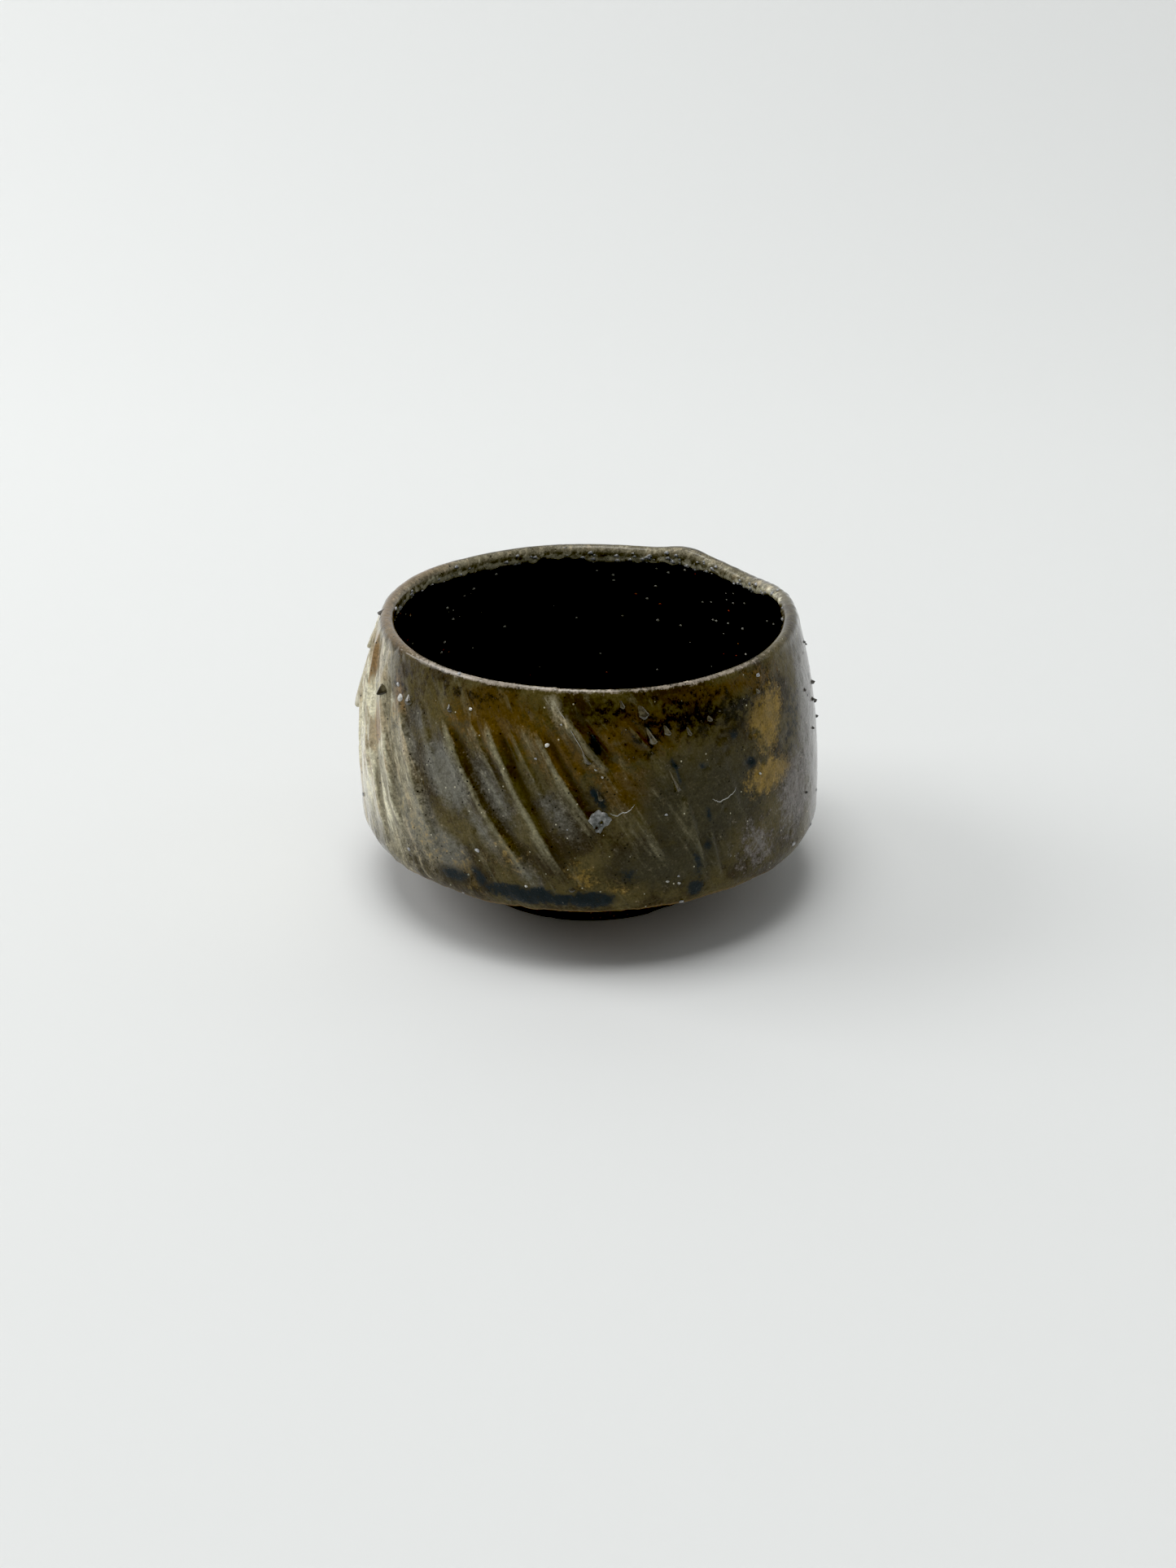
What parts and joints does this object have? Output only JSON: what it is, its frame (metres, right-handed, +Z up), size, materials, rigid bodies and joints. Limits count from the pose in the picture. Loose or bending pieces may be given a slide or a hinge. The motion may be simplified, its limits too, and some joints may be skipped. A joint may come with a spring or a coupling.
{
  "type": "tea bowl",
  "caption": "Round stoneware tea bowl with an upright, slightly inward wall and a foot ring, glazed inside and out, for whisking and drinking powdered tea.",
  "frame": {"origin": "centre of the foot ring's resting face, on the surface that the bowl stands on", "axes": "+Z up along the bowl's axis of turning, -Y towards the brushed front"},
  "size_m": [0.1156, 0.1156, 0.07],
  "materials": {
    "body_clay": "bare stoneware, fired dark brown, sandy",
    "foot_clay": "bare stoneware, trimmed, smooth where it stands",
    "ash_glaze": "runny olive-brown ash glaze, satin to glossy",
    "black_glaze": "glossy black iron glaze",
    "brushed_glaze": "pale grey brushed glaze, satin",
    "drop_glaze": "thick, glassy ash-glaze drops",
    "feldspar": "melted feldspar, milky",
    "kiln_grit": "rough, dull grains"
  },
  "bodies": {
    "root": {"clay_body": "body_clay", "foot_ring": "foot_clay", "outer_glaze": "ash_glaze", "inner_glaze": "black_glaze", "brushed_strokes": "brushed_glaze", "glaze_drops": "drop_glaze", "feldspar_stones": "feldspar", "kiln_grit": "kiln_grit"}
  },
  "joints": []
}
